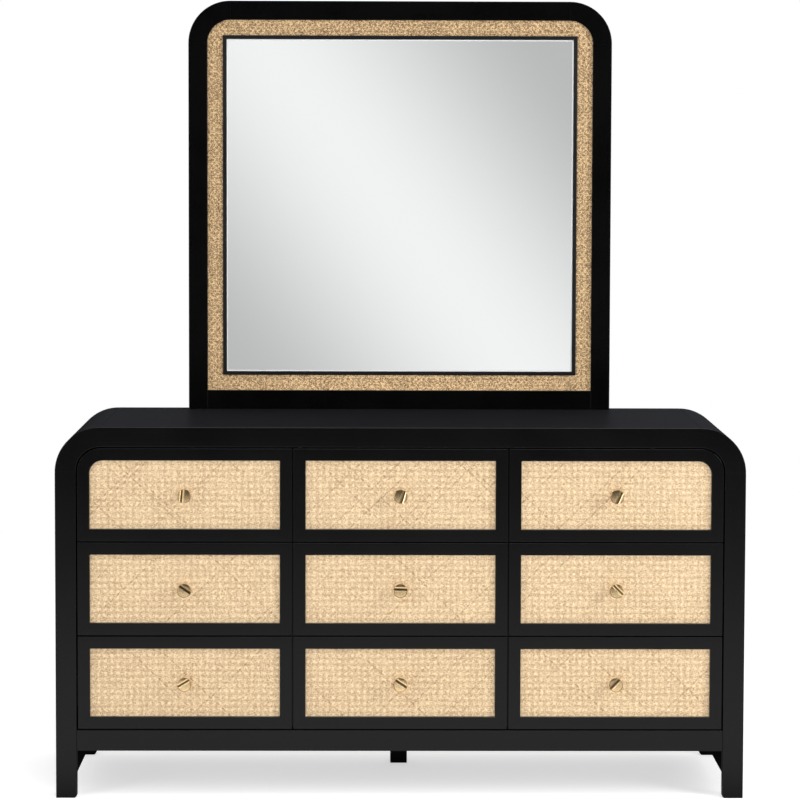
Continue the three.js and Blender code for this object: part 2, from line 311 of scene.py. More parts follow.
caneTones = {  # dark, light, and the brown of the painted shade between two paired strands
    "drawer": ((0.40, 0.235, 0.115, 1), (0.98, 0.765, 0.48, 1), (0.32, 0.18, 0.08, 1)),
    "border": ((0.13, 0.065, 0.024, 1), (0.93, 0.655, 0.355, 1), (0.07, 0.03, 0.01, 1)),
}
caneMottle = {
    "scale": 520,
    "patchScale": 30,
    "fibreScale": 1500,
    "strand": 0.10,  # each strand's own tone
    "cells": 0.78,
    "flecks": 0.25,
    "patches": 0.30,
    "edge": 0.6,  # how far the painted shade darkens a shaded edge
}
caneSpread = {"drawer": (0, 1), "border": (0.18, 0.86)}  # the mottling that makes dark and light


# split cane: each strand has its own tone, with fibres and flecks; margin is 1 at a shaded edge, where
# painted shade is mixed in
def caneFinish(name, kind):
    finish = newFinish(name)
    dark, light, slotShade = caneTones[kind]
    patches = finish.noise(finish.place(), caneMottle["patchScale"], 3) - 0.5
    fibres = finish.noise(finish.place(), caneMottle["fibreScale"], 3)
    flecks = finish.span(finish.noise(finish.place(), caneMottle["scale"], 2, 0.6), 0.40, 0.60, 0, 1)
    own = finish.attribute("strand") * caneMottle["strand"]
    spots = finish.cells(caneMottle["scale"]) * caneMottle["cells"] + flecks * caneMottle["flecks"]
    tone = finish.span(own + spots + patches * caneMottle["patches"], *caneSpread[kind], 0, 1)
    edge = finish.span(finish.attribute("margin"), 0.55, 1.0, 0, caneMottle["edge"])
    return finish.surface(**{
        "Base Color": finish.mixed(edge, finish.mixed(tone, dark, light), slotShade),
        "Roughness": 0.48 + fibres * 0.2,
        "Specular IOR Level": 0.4,
        "Normal": finish.bump(fibres, 0.25, 0.2 * mm),
    })


tones = {  # the darker and the paler of each
    "creamCloth": ((0.48, 0.34, 0.20, 1), (0.96, 0.78, 0.53, 1)),
    "brownCloth": ((0.14, 0.075, 0.03, 1), (0.44, 0.29, 0.15, 1)),
    "groundGlass": ((0.86, 0.88, 0.88, 1), (0.95, 0.96, 0.96, 1)),
    "steel": ((0.42, 0.43, 0.44, 1), (0.60, 0.61, 0.61, 1)),
    "wood": ((0.50, 0.35, 0.20, 1), (0.74, 0.58, 0.38, 1)),
    "hardboard": ((0.045, 0.030, 0.020, 1), (0.11, 0.075, 0.05, 1)),
}


# plain cloth behind the cane
def linerFinish(name, cloth):
    finish = newFinish(name)
    threads = finish.noise(finish.place((1, 1, 6)), 500, 2) + finish.noise(finish.place((6, 1, 1)), 500, 2)
    tone = finish.span(finish.cells(caneMottle["scale"]) + threads * 0.5, 0.4, 1.1, 0, 1)
    return finish.surface(**{
        "Base Color": finish.mixed(tone, *tones[cloth]),
        "Roughness": 0.85,
        "Normal": finish.bump(threads, 0.3, 0.3 * mm),
    })


brassTones = {
    "deep": (0.70, 0.48, 0.23, 1),
    "pale": (0.88, 0.66, 0.38, 1),
    "patinaAndShade": (0.24, 0.16, 0.07, 1),  # patina and painted shade in the groove's near side, and a painted dark reflection round the rim
    "paintedHighlight": (1.0, 0.93, 0.78, 1),  # a painted highlight on the lips
}


# satin brass: toned patches and hair scratches; patina and painted shade where the mark runs to 1, and a
# painted highlight where it runs to -1
def brassFinish():
    finish = newFinish("brass")
    age = finish.attribute("age")
    patches = finish.noise(finish.place(), 260, 3)
    scratches = finish.noise(finish.place((1, 1, 14)), 900, 3)
    metal = finish.mixed(patches, brassTones["deep"], brassTones["pale"])
    darkened = finish.mixed(finish.span(age, 0, 1, 0, 1), metal, brassTones["patinaAndShade"])
    return finish.surface(**{
        "Base Color": finish.mixed(finish.span(age, -1, 0, 1, 0), darkened, brassTones["paintedHighlight"]),
        "Metallic": 1.0,
        "Roughness": 0.20 + patches * 0.08 + scratches * 0.08,
        "Normal": finish.bump(scratches, 0.06, 0.1 * mm),
    })


def silverFinish():
    finish = newFinish("silvered_glass")
    haze = finish.noise(finish.place(), 3, 2)
    return finish.surface(**{
        "Base Color": (0.93, 0.94, 0.94, 1),
        "Metallic": 1.0,
        "Roughness": haze * 0.02,
    })


# the ground margin of the glass, frosted and pale
def groundFinish():
    finish = newFinish("ground_glass")
    grit = finish.noise(finish.place(), 2400, 2)
    return finish.surface(**{
        "Base Color": finish.mixed(grit, *tones["groundGlass"]),
        "Roughness": 0.35 + grit * 0.2,
        "Normal": finish.bump(grit, 0.1, 0.1 * mm),
    })


def steelFinish():
    finish = newFinish("zinc_steel")
    spangle = finish.noise(finish.place(), 260, 3)
    drawn = finish.noise(finish.place((30, 1, 30)), 60, 2)
    return finish.surface(**{
        "Base Color": finish.mixed(spangle, *tones["steel"]),
        "Metallic": 1.0,
        "Roughness": 0.28 + spangle * 0.16,
        "Normal": finish.bump(drawn, 0.05, 0.1 * mm),
    })


# pale close-grained wood; along is the axis that the grain runs on
def paleWoodFinish(name, along):
    finish = newFinish(name)
    place = finish.grained(along, 0.06)
    rings = finish.noise(place, 45, 5, 0.6)
    pores = finish.noise(place, 700, 3)
    tone = finish.span(rings + pores * 0.35, 0.4, 0.95, 0, 1)
    return finish.surface(**{
        "Base Color": finish.mixed(tone, *tones["wood"]),
        "Roughness": 0.52 + pores * 0.15,
        "Specular IOR Level": 0.35,
        "Normal": finish.bump(pores, 0.15, 0.2 * mm),
    })


def hardboardFinish():
    finish = newFinish("hardboard")
    chips = finish.noise(finish.place(), 420, 5, 0.7)
    return finish.surface(**{
        "Base Color": finish.mixed(chips, *tones["hardboard"]),
        "Roughness": 0.7 + chips * 0.15,
        "Normal": finish.bump(chips, 0.2, 0.3 * mm),
    })


lacquerAlongX = lacquerFinish("black_lacquer_level", 0, lacquers["case"])
lacquerAlongZ = lacquerFinish("black_lacquer_upright", 2, lacquers["case"])
beadLacquer = lacquerFinish("bead_lacquer", 2, lacquers["bead"])
shadedAlongX = lacquerFinish("shaded_lacquer_level", 0, lacquers["inner"])
mirrorAlongX = lacquerFinish("mirror_lacquer_level", 0, lacquers["mirror"])
mirrorAlongZ = lacquerFinish("mirror_lacquer_upright", 2, lacquers["mirror"])
drawerCane = caneFinish("drawer_cane", "drawer")
borderCane = caneFinish("border_cane", "border")
creamLiner = linerFinish("cream_liner", "creamCloth")
brownLiner = linerFinish("brown_liner", "brownCloth")
brass = brassFinish()
silver = silverFinish()
groundGlass = groundFinish()
steel = steelFinish()
woodAlongX = paleWoodFinish("pale_wood_across", 0)
woodAlongY = paleWoodFinish("pale_wood_deep", 1)
hardboard = hardboardFinish()
print("materials made")


def meshObject(name, bm):
    mesh = bpy.data.meshes.new(name)
    bm.to_mesh(mesh)
    bm.free()
    made = bpy.data.objects.new(name, mesh)
    scene.collection.objects.link(made)
    return made


# matt near the dresser and plain white further off; what gloss sees of it is a painted shadow under the
# dresser, and fades forwards
def floorMaterial():
    finish = newFinish("floor")
    rays = finish.ray("Camera")
    matt = finish.add("BsdfDiffuse", {}, {"Color": studio["floorColour"]})
    lit = finish.add("AddShader", {}, {0: matt, 1: finish.glow(grey(1), rays * studio["floorLift"])})
    spread = finish.place(studio["floorStretch"])
    distance = finish.add("VectorMath", {"operation": "LENGTH"}, {0: spread}, "Value")
    far = finish.span(distance, *studio["floorFade"], 0, 1) * rays
    seen = finish.add("MixShader", {}, {0: far, 1: lit, 2: finish.glow(grey(1))})
    forward = finish.part(finish.add("TexCoord", output="Object"), "Y") * -1
    reach = studio["floorGloss"][-1][0]
    stops = [(spot / reach, level) for spot, level in studio["floorGloss"]]
    fade = finish.add("ValToRGB", {"stops": stops}, {"Fac": forward * (1 / reach)})
    finish.close(finish.add("MixShader", {}, {0: finish.ray("Glossy"), 1: seen, 2: finish.glow(fade)}))
    return finish.owner


def addFloor():
    bm = bmesh.new()
    bmesh.ops.create_grid(bm, x_segments=1, y_segments=1, size=studio["floorHalf"])
    floor = meshObject("floor", bm)
    floor.data.materials.append(floorMaterial())


def addWorld():
    world = bpy.data.worlds.new("studio")
    scene.world = world
    finish = Finish(world)
    seen = finish.ray("Camera")
    gloss = finish.ray("Glossy")
    ahead = finish.add("TexCoord", output="Generated")
    back = finish.span(finish.part(ahead, "X"), *studio["turn"], *studio["glossBack"])
    behind = finish.span(finish.part(ahead, "Y"), *studio["turn"], 0, 1)
    above = finish.span(finish.part(ahead, "Z"), *studio["aboveFrom"], 0, studio["glossAbove"])
    mirrored = studio["glossFront"] + behind * (back - studio["glossFront"]) + above
    unseen = studio["worldDiffuse"] + gloss * (mirrored - studio["worldDiffuse"])
    strength = unseen + seen * (1 - unseen)
    colour = finish.mixed(gloss * behind, grey(1), studio["backTint"])
    finish.close(finish.add("Background", {}, {"Color": colour, "Strength": strength}))


# lights the given pieces alone, or all but them where state is EXCLUDE
def linkLight(name, pieces, state="INCLUDE"):
    linking = bpy.data.objects[name].light_linking
    group = linking.receiver_collection or bpy.data.collections.new(f"lit_by_{name}")
    linking.receiver_collection = group
    for piece in pieces:
        group.objects.link(piece)
    for item in group.collection_objects:
        item.light_linking.link_state = state


# a big diffusing screen behind the camera, that only the mirror glass sees, and only in its gloss
screen = {
    "distance": 7.5,  # in front of the mirror
    "size": 7.0,
    "centre": (0.013, 1.17),
    "slope": 0.787,  # how much height counts beside breadth
    "reach": 1.55,  # metres off the middle line where it is dim
    "pale": 0.945,
    "dim": 0.518,
}


def addScreen(pane):
    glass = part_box("mirror_glass")[0]
    place = Vector((screen["centre"][0], glass.y - screen["distance"], screen["centre"][1]))
    bm = bmesh.new()
    bmesh.ops.create_grid(bm, x_segments=1, y_segments=1, size=screen["size"] / 2)
    bmesh.ops.rotate(bm, cent=(0, 0, 0), matrix=Matrix.Rotation(math.radians(-90), 3, "X"), verts=bm.verts)
    bmesh.ops.translate(bm, vec=place, verts=bm.verts)
    card = meshObject("screen", bm)
    card.visible_camera = False
    card.visible_diffuse = False
    card.visible_shadow = False
    linkLight("screen", [pane])
    finish = newFinish("screen")
    at = finish.add("TexCoord", output="Object")
    across = finish.part(at, "X") - place.x
    climb = finish.part(at, "Z") - place.z
    band = finish.math("ABSOLUTE", across + climb * screen["slope"])  # falls to the right
    level = finish.span(band, 0, screen["reach"], screen["pale"], screen["dim"], "SMOOTHSTEP")
    finish.close(finish.glow(grey(1), level))
    card.data.materials.append(finish.owner)


# lamps for some pieces alone: what the brass sees beside and below it in place of the softboxes,
# and a strip of light on the mirror's cane
pieceLights = {  # place, aimed at, width, height, power in watts, seen in gloss
    "knob_left": ((-2.0, -0.45, 1.25), (0, -0.45, 1.25), 2.5, 2.2, 104, True),
    "knob_right": ((2.0, -0.45, 1.25), (0, -0.45, 1.25), 2.5, 2.2, 104, True),
    "knob_below": ((0, -0.50, 0.004), (0, -0.50, 1), 1.2, 0.45, 2.8, True),
    "mirror_foot": ((0, -0.05, 0.94), (0, 0.2, 0.93), 0.95, 0.06, 0.5, False),
}


def addPieceLight(name, pieces):
    addSoftbox(name, *pieceLights[name])
    linkLight(name, pieces)


def lightKnobs(knobs):
    for name in ("knob_left", "knob_right", "knob_below"):
        addPieceLight(name, knobs)
        bpy.data.objects[name].visible_diffuse = False
    for name in studio["softboxes"]:
        linkLight(name, knobs, "EXCLUDE")


addFloor()
addWorld()
print("floor and surroundings made")


smoothAngle = 40  # degrees up to which two faces shade as one


def makePiece(name, bm, material, body="root", stands=()):
    bmesh.ops.recalc_face_normals(bm, faces=bm.faces)
    piece = meshObject(name, bm)
    piece.data.materials.append(material)
    piece.data.shade_smooth()
    piece.data.set_sharp_from_angle(angle=math.radians(smoothAngle))
    even = piece.modifiers.new("even_normals", "WEIGHTED_NORMAL")
    even.keep_sharp = True
    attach(piece, body)
    if stands:
        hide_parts(*stands)
    return piece


def gathered(parts):
    whole = bmesh.new()
    for part in parts:
        mesh = bpy.data.meshes.new("part")
        part.to_mesh(mesh)
        part.free()
        whole.from_mesh(mesh)
        bpy.data.meshes.remove(mesh)
    return whole


def board(low, high):
    bm = bmesh.new()
    bmesh.ops.create_cube(bm, size=1)
    low, high = Vector(low), Vector(high)
    bmesh.ops.scale(bm, vec=high - low, verts=bm.verts)
    bmesh.ops.translate(bm, vec=(low + high) / 2, verts=bm.verts)
    return bm


# cuts away what lies beyond a plane, and leaves the cut open
def sliceOff(bm, point, normal):
    everything = bm.verts[:] + bm.edges[:] + bm.faces[:]
    bmesh.ops.bisect_plane(
        bm, geom=everything, dist=touch / 10, plane_co=point, plane_no=normal, clear_outer=True
    )


# the same, and closes the cut
def cutAway(bm, point, normal):
    sliceOff(bm, point, normal)
    rim = [edge for edge in bm.edges if edge.is_boundary]
    if rim:
        bmesh.ops.holes_fill(bm, edges=rim)


arris = {
    "board": 1.6 * mm,
    "rail": 1.2 * mm,
    "innerRail": 1 * mm,
    "skin": 0.6 * mm,
    "sheet": 0.5 * mm,
    "batten": 0.3 * mm,
    "seam": 0.7 * mm,
    "onPlane": 0.02 * mm,  # an edge this near a joint's plane lies in it
    "sharp": 30,  # degrees from which an edge is rounded
    "segments": 3,
}


def liesOn(edge, plane):
    point, normal = Vector(plane[0]), Vector(plane[1])
    return all(abs((vert.co - point).dot(normal)) < arris["onPlane"] for vert in edge.verts)


def sharpEdges(bm):
    return [
        edge for edge in bm.edges
        if len(edge.link_faces) == 2 and edge.calc_face_angle() > math.radians(arris["sharp"])
    ]


def rounded(bm, edges, radius, segments):
    bmesh.ops.bevel(
        bm, geom=edges, offset=radius, offset_type="OFFSET", segments=segments, profile=0.5,
        affect="EDGES", material=-1, clamp_overlap=True,
    )


# rounds the arrises, and only just breaks those that lie in a joint's plane
def ease(bm, seams=(), radius=arris["board"]):
    def inJoint(edge):
        return any(liesOn(edge, plane) for plane in seams)

    rounded(bm, [edge for edge in sharpEdges(bm) if not inJoint(edge)], radius, arris["segments"])
    joints = [edge for edge in sharpEdges(bm) if inJoint(edge)]
    if joints:
        rounded(bm, joints, arris["seam"], 1)
    return bm


def nodeShape(node):
    bm = bmesh.new()
    bm.from_mesh(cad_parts[node].data)
    bmesh.ops.remove_doubles(bm, verts=bm.verts, dist=touch)
    bmesh.ops.dissolve_limit(bm, angle_limit=math.radians(1), verts=bm.verts, edges=bm.edges)
    return bm


def pushOut(bm, faces, travel):
    made = bmesh.ops.extrude_face_region(bm, geom=faces)["geom"]
    moved = [item for item in made if isinstance(item, bmesh.types.BMVert)]
    bmesh.ops.translate(bm, vec=travel, verts=moved)


# a closed outline pushed along an axis
def prism(points, travel):
    bm = bmesh.new()
    face = bm.faces.new([bm.verts.new(point) for point in points])
    pushOut(bm, [face], travel)
    return bm


# the same board as the node's, with its arrises rounded
def dressNode(name, node, material, seams=(), radius=arris["board"]):
    makePiece(name, ease(nodeShape(node), seams, radius), material, stands=[node])


footJoint = ((0, 0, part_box("front_leg_left")[1].z), (0, 0, 1))  # on the legs


def placeCase():
    ends = [((corner.x, 0, 0), (1, 0, 0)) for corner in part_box("top_panel")]
    dressNode("top_board", "top_panel", lacquerAlongX, ends)
    for side in ("left", "right"):
        dressNode(f"shoulder_{side}", f"corner_{side}", lacquerAlongX, ends + [footJoint])
        for end in ("front", "back"):
            dressNode(f"{end}_post_{side}", f"{end}_leg_{side}", lacquerAlongZ, [footJoint])
    for node in ("front_apron", "back_apron", "bottom_panel"):
        dressNode(f"{node}_board", node, lacquerAlongX, radius=arris["rail"])
    dressNode("centre_foot", "centre_leg", lacquerAlongZ)
    dressNode("back_sheet", "back_panel", hardboard, radius=arris["sheet"])


sideBoard = {
    "skin": 22 * mm,
    "battenHeight": 70 * mm,
    "edging": 1 * mm,  # black strip on the front edges of the inner boards
}
runner = {
    "steel": 1.5 * mm,
    "fixedReach": 9.5 * mm,  # fixed member off its board
    "fixedHalf": 18 * mm,
    "fixedLip": 11 * mm,
    "movingReach": 9 * mm,  # moving member off the drawer box
    "movingHalf": 9 * mm,
    "movingFlange": 14.5 * mm,
    "length": 380 * mm,
    "setBack": 6 * mm,  # behind the front legs
    "boxToMiddle": 60 * mm,  # lower edge of the box to the runner's middle
}


# one drawer of each row tells
def runnerHeights():
    return [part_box(f"drawer_{number}_box")[0].z + runner["boxToMiddle"] for number in (1, 4, 7)]


# bent steel that stands off a face at faceX, to the side given
def steelMember(outline, faceX, side, middle):
    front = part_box("front_leg_left")[1].y + runner["setBack"]
    points = [(faceX + side * off, front, middle + up) for off, up in outline]
    return prism(points, (0, runner["length"], 0))


# the lipped channel on the case; side is the way that the drawer lies
def fixedMember(faceX, side, middle):
    t, reach = runner["steel"], runner["fixedReach"]
    half, lip = runner["fixedHalf"], runner["fixedLip"]
    outline = [
        (0, -half), (reach, -half), (reach, -lip), (reach - t, -lip), (reach - t, t - half),
        (t, t - half), (t, half - t), (reach - t, half - t), (reach - t, lip), (reach, lip),
        (reach, half), (0, half),
    ]
    return steelMember(outline, faceX, side, middle)


def placeSides():
    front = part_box("partition_left")[0].y
    edgingBack = front + sideBoard["edging"]
    half = sideBoard["battenHeight"] / 2
    for name, sign in (("left", -1), ("right", 1)):
        low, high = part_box(f"side_panel_{name}")
        legLow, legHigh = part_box(f"front_leg_{name}")
        outer = low.x if sign < 0 else high.x
        inner = outer - sign * sideBoard["skin"]
        railEnd = legHigh.x if sign < 0 else legLow.x
        skinSpan = sorted((outer, inner))
        railSpan = sorted((inner, railEnd))
        skin = board((skinSpan[0], low.y, low.z), (skinSpan[1], high.y, high.z))
        rail = board((railSpan[0], low.y, low.z), (railSpan[1], high.y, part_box("bottom_panel")[0].z))
        makePiece(f"side_skin_{name}", ease(skin, [footJoint], arris["skin"]), lacquerAlongZ,
                  stands=[f"side_panel_{name}"])
        # the rail under the case takes the shaded copy of the lacquer, a painted shade
        makePiece(f"side_rail_{name}", ease(rail, radius=arris["innerRail"]), shadedAlongX)
        tip = low.x if sign > 0 else high.x  # of the fixed runners
        face = tip + sign * runner["fixedReach"]
        span = sorted((inner, face))
        battens = []
        strips = []
        members = []
        for z in runnerHeights():
            batten = board((span[0], edgingBack, z - half), (span[1], high.y, z + half))
            battens.append(ease(batten, radius=arris["batten"]))
            strips.append(board((span[0], front, z - half), (span[1], edgingBack, z + half)))
            members.append(fixedMember(face, -sign, z))
        makePiece(f"side_battens_{name}", gathered(battens), woodAlongY)
        makePiece(f"side_edging_{name}", gathered(strips), lacquerAlongZ)
        makePiece(f"side_runners_{name}", gathered(members), steel)


def placePartitions():
    for name in ("left", "right"):
        node = f"partition_{name}"
        low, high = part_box(node)
        faces = (low.x + runner["fixedReach"], high.x - runner["fixedReach"])
        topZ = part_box("top_panel")[0].z
        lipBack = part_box("back_leg_left")[0].y
        front = low.y + sideBoard["edging"]
        outline = [
            (front, low.z), (high.y, low.z), (high.y, topZ), (lipBack, topZ),
            (lipBack, high.z), (front, high.z),
        ]
        points = [(faces[0], y, z) for y, z in outline]
        wall = prism(points, (faces[1] - faces[0], 0, 0))
        makePiece(f"divider_{name}", ease(wall, radius=arris["batten"]), woodAlongY,
                  stands=[node])
        strip = board((faces[0], low.y, low.z), (faces[1], front, high.z))
        makePiece(f"divider_edging_{name}", strip, lacquerAlongZ)
        members = [fixedMember(faces[0], -1, z) for z in runnerHeights()]
        members += [fixedMember(faces[1], 1, z) for z in runnerHeights()]
        makePiece(f"divider_runners_{name}", gathered(members), steel)


placeCase()
placeSides()
placePartitions()
print("case made")


drawerFront = {
    "play": 0.25 * mm,  # round the cane
    "cornerRadius": 53.5 * mm,
    "windowRadius": 31 * mm,
    "joint": 0.08 * mm,  # half the gap between two members
    "arris": 1.1 * mm,
    "bendSteps": 20,
    "backingGap": 0.1 * mm,  # round the board behind the cane
    "backingShy": 0.2 * mm,  # and behind it
}


# a flat outline with its top corner round on side -1, 1 or 0 (none)
def plateOutline(low, high, radius, sign):
    bm = bmesh.new()
    bmesh.ops.create_grid(bm, x_segments=1, y_segments=1, size=0.5)
    bmesh.ops.rotate(bm, cent=(0, 0, 0), matrix=Matrix.Rotation(math.radians(90), 3, "X"), verts=bm.verts)
    bmesh.ops.scale(bm, vec=(high.x - low.x, 1, high.z - low.z), verts=bm.verts)
    corner = [vert for vert in bm.verts if vert.co.z > 0 and vert.co.x * sign > 0]
    if corner:
        bmesh.ops.bevel(
            bm, geom=corner, offset=radius, offset_type="OFFSET", segments=drawerFront["bendSteps"],
            profile=0.5, affect="VERTICES", material=-1,
        )
    middle = (low + high) / 2
    bmesh.ops.translate(bm, vec=(middle.x, low.y, middle.z), verts=bm.verts)
    return bm


# the frame before it is cut into its four members
def frameRing(low, high, width, sign):
    inward = Vector((width, 0, width))
    bm = gathered([
        plateOutline(low, high, drawerFront["cornerRadius"], sign),
        plateOutline(low + inward, high - inward, drawerFront["windowRadius"], sign),
    ])
    bmesh.ops.delete(bm, geom=bm.faces[:], context="FACES_ONLY")
    bmesh.ops.triangle_fill(bm, use_beauty=True, edges=bm.edges[:])
    pushOut(bm, bm.faces[:], (0, high.y - low.y, 0))
    bmesh.ops.dissolve_limit(bm, angle_limit=math.radians(1), verts=bm.verts, edges=bm.edges)
    return bm


# a mitre's plane at a corner, with the stile or the rail on its inner side
def mitrePlane(low, high, upper, across, member):
    spot = Vector((low.x if across < 0 else high.x, low.y, high.z if upper else low.z))
    normal = Vector((-across, 0, 1 if upper else -1)).normalized()
    if member == "rail":
        normal = -normal
    return spot - normal * drawerFront["joint"], normal


# where the bend ends, with the stile or the rail on its inner side
def bendPlane(low, high, width, sign, member):
    normal = Vector((-sign, 0, 0)) if member == "stile" else Vector((sign, 0, 0))
    reach = width + drawerFront["windowRadius"]
    spot = Vector(((low.x if sign < 0 else high.x) - sign * reach, low.y, high.z))
    return spot - normal * drawerFront["joint"], normal


def drawerFrame(low, high, width, sign):
    middle = (low + high) / 2

    def corner(upper, across, member):
        if upper and across == sign:
            return bendPlane(low, high, width, sign, member)
        return mitrePlane(low, high, upper, across, member)

    members = []
    for across in (-1, 1):
        ends = [corner(upper, across, "stile") for upper in (False, True)]
        members.append(ends + [(middle, Vector((-across, 0, 0)))])
    for upper in (False, True):
        ends = [corner(upper, across, "rail") for across in (-1, 1)]
        members.append(ends + [(middle, Vector((0, 0, -1 if upper else 1)))])
    ring = ease(frameRing(low, high, width, sign), radius=drawerFront["arris"])
    shapes = []
    for planes in members:
        bar = ring.copy()
        for plane in planes:
            cutAway(bar, *plane)
        shapes.append(bar)
    ring.free()
    return gathered(shapes)


# the drawers in the case's round corners: -1 on the left and 1 on the right
def cornerSign(number):
    return {1: -1, 3: 1}.get(number, 0)


def placeFronts():
    for number in drawerNumbers:
        body = f"drawer_{number}"
        low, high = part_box(f"{body}_front")
        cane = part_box(f"{body}_cane")
        width = cane[0].x - low.x - drawerFront["play"]
        sign = cornerSign(number)
        makePiece(f"{body}_frame", drawerFrame(low, high, width, sign), lacquerAlongX, body,
                  stands=[f"{body}_front"])
        inset = width + drawerFront["backingGap"]
        back = board((low.x + inset, cane[1].y, low.z + inset),
                     (high.x - inset, high.y - drawerFront["backingShy"], high.z - inset))
        makePiece(f"{body}_backing", back, lacquerAlongX, body)


placeFronts()
print("drawer fronts made")


weave = {
    "thick": 0.42 * mm,
    "rise": 0.26 * mm,  # how far strands swing over and under
    "slantRise": 0.5 * mm,
    "crown": 0.14 * mm,
    "stepsPerPitch": 4,
    "spare": 3 * mm,
    "darkTone": -2.8,
    "forward": 0.05 * mm,  # the sheet before the middle of its groove
    "liner": 0.25 * mm,
}
drawerWeave = {
    "pitch": (14.8 * mm, 14.05 * mm),  # across and up
    "pairHalf": 1.95 * mm,  # middle of a pair to the middle of a strand
    "width": 3.3 * mm,
    "slantWidth": 3.2 * mm,
    "darkShare": 0.05,  # of the slanting strands
}
borderWeave = {
    "pitch": (13.4 * mm, 15.0 * mm),
    "pairHalf": 2.1 * mm,
    "width": 3.3 * mm,
    "slantWidth": 4.2 * mm,
    "darkShare": 0.0,
}


# a flat strip between two points of the sheet, crowned, at the depth that lift(x, z) gives;
# shade is the side that its partner lies on, or 0 for a single strand
def addStrand(bm, start, end, width, lift, tone, pitch, shade=0):
    run = Vector((end[0] - start[0], 0, end[1] - start[1]))
    steps = max(2, round(run.length / pitch * weave["stepsPerPitch"]))
    made = bmesh.ops.create_grid(bm, x_segments=steps, y_segments=2, size=0.5)["verts"]
    strand, margin = (bm.verts.layers.float[name] for name in ("strand", "margin"))
    ahead = run.normalized()
    across = Vector((-ahead.z, 0, ahead.x))
    for vert in made:
        u, v = vert.co.x, vert.co.y
        spot = Vector((start[0], 0, start[1])) + run * (u + 0.5) + across * (v * width)
        crown = weave["crown"] * (1 - 4 * v * v)
        spot.y = -(lift(spot.x, spot.z) + crown)
        vert.co = spot
        vert[strand] = tone
        # margin marks the painted shade: on the side of the partner, or at both edges of a single strand
        vert[margin] = max(0, 2 * v * shade) if shade else abs(v)


# octagonal cane over a rectangle of the sheet, drawn from an origin where two pairs cross
def caneStrands(kind, x0, x1, z0, z1, originX, originZ, seed=0):
    bm = bmesh.new()
    for name in ("strand", "margin"):
        bm.verts.layers.float.new(name)
    chance = random.Random(seed)
    pitchX, pitchZ = kind["pitch"]
    rise, slant = weave["rise"], weave["slantRise"]
    x0, x1, z0, z1 = x0 - weave["spare"], x1 + weave["spare"], z0 - weave["spare"], z1 + weave["spare"]

    def swing(at, origin, pitch):
        return math.cos(2 * math.pi * (at - origin) / pitch)

    def under(x, z):
        return -rise * (1 + swing(z, originZ, pitchZ)) / 2

    def over(x, z):
        return rise * (1 + swing(x, originX, pitchX)) / 2

    def overLevel(x, z):
        return -slant * swing(x, originX, pitchX)

    def overUpright(x, z):
        return slant * swing(x, originX, pitchX)

    for k in range(math.ceil((x0 - originX) / pitchX) - 1, math.floor((x1 - originX) / pitchX) + 2):
        for hand in (-1, 1):
            x = originX + k * pitchX + hand * kind["pairHalf"]
            tone = chance.random()
            if x0 < x < x1:
                addStrand(bm, (x, z0), (x, z1), kind["width"], under, tone, pitchZ, hand)
    for k in range(math.ceil((z0 - originZ) / pitchZ) - 1, math.floor((z1 - originZ) / pitchZ) + 2):
        for hand in (-1, 1):
            z = originZ + k * pitchZ + hand * kind["pairHalf"]
            tone = chance.random()
            if z0 < z < z1:
                addStrand(bm, (x0, z), (x1, z), kind["width"], over, tone, pitchX, -hand)
    for slope, lift in ((pitchZ / pitchX, overLevel), (-pitchZ / pitchX, overUpright)):
        rises = [z - slope * x for x in (x0 - originX, x1 - originX) for z in (z0 - originZ, z1 - originZ)]
        for k in range(math.floor(min(rises) / pitchZ), math.ceil(max(rises) / pitchZ) + 1):
            offset = (k + 0.5) * pitchZ + originZ - slope * originX
            tone = chance.random()
            if tone < kind["darkShare"]:
                tone = weave["darkTone"]
            ends = sorted(((z0 - offset) / slope, (z1 - offset) / slope))
            start, end = max(x0, ends[0]), min(x1, ends[1])
            if end - start > kind["width"]:
                addStrand(bm, (start, slope * start + offset), (end, slope * end + offset),
                          kind["slantWidth"], lift, tone, pitchX)
    return bm


# trims the strips to planes, then gives them their thickness
def trimmedCane(bm, planes, middleY):
    for point, normal in planes:
        sliceOff(bm, point, normal)
    bmesh.ops.dissolve_degenerate(bm, dist=touch, edges=bm.edges)
    bmesh.ops.recalc_face_normals(bm, faces=bm.faces)
    for face in bm.faces:
        if face.normal.y > 0:
            face.normal_flip()
    bmesh.ops.solidify(bm, geom=bm.faces[:], thickness=weave["thick"])
    bmesh.ops.translate(bm, vec=(0, middleY, 0), verts=bm.verts)
    return bm


def edgePlanes(x0, x1, z0, z1):
    return [((x0, 0, 0), (-1, 0, 0)), ((x1, 0, 0), (1, 0, 0)),
            ((0, 0, z0), (0, 0, -1)), ((0, 0, z1), (0, 0, 1))]


# planes that touch a round corner's arc
def arcPlanes(centreX, centreZ, radius, sign, count=7):
    planes = []
    for i in range(1, count + 1):
        angle = math.radians(90 * i / (count + 1))
        out = Vector((sign * math.cos(angle), 0, math.sin(angle)))
        planes.append((Vector((centreX, 0, centreZ)) + out * radius, out))
    return planes


def placeDrawerCane():
    pieces = []
    for number in drawerNumbers:
        body = f"drawer_{number}"
        low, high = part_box(f"{body}_cane")
        middle = (low + high) / 2
        sign = cornerSign(number)
        arcs = []
        if sign:
            radius = drawerFront["windowRadius"] - drawerFront["play"]
            corner = low.x + radius if sign < 0 else high.x - radius
            arcs = arcPlanes(corner, high.z - radius, radius, sign)
        planes = edgePlanes(low.x, high.x, low.z, high.z) + arcs
        strands = caneStrands(drawerWeave, low.x, high.x, low.z, high.z, middle.x, middle.z, number)
        sheet = trimmedCane(strands, planes, middle.y - weave["forward"])
        pieces.append(makePiece(f"{body}_weave", sheet, drawerCane, body, [f"{body}_cane"]))
        liner = board((low.x, high.y - weave["liner"], low.z), (high.x, high.y, high.z))
        for plane in arcs:
            cutAway(liner, *plane)
        pieces.append(makePiece(f"{body}_liner", liner, creamLiner, body))
    return pieces


linkLight("overhead", placeDrawerCane(), "EXCLUDE")
print("drawer cane woven")


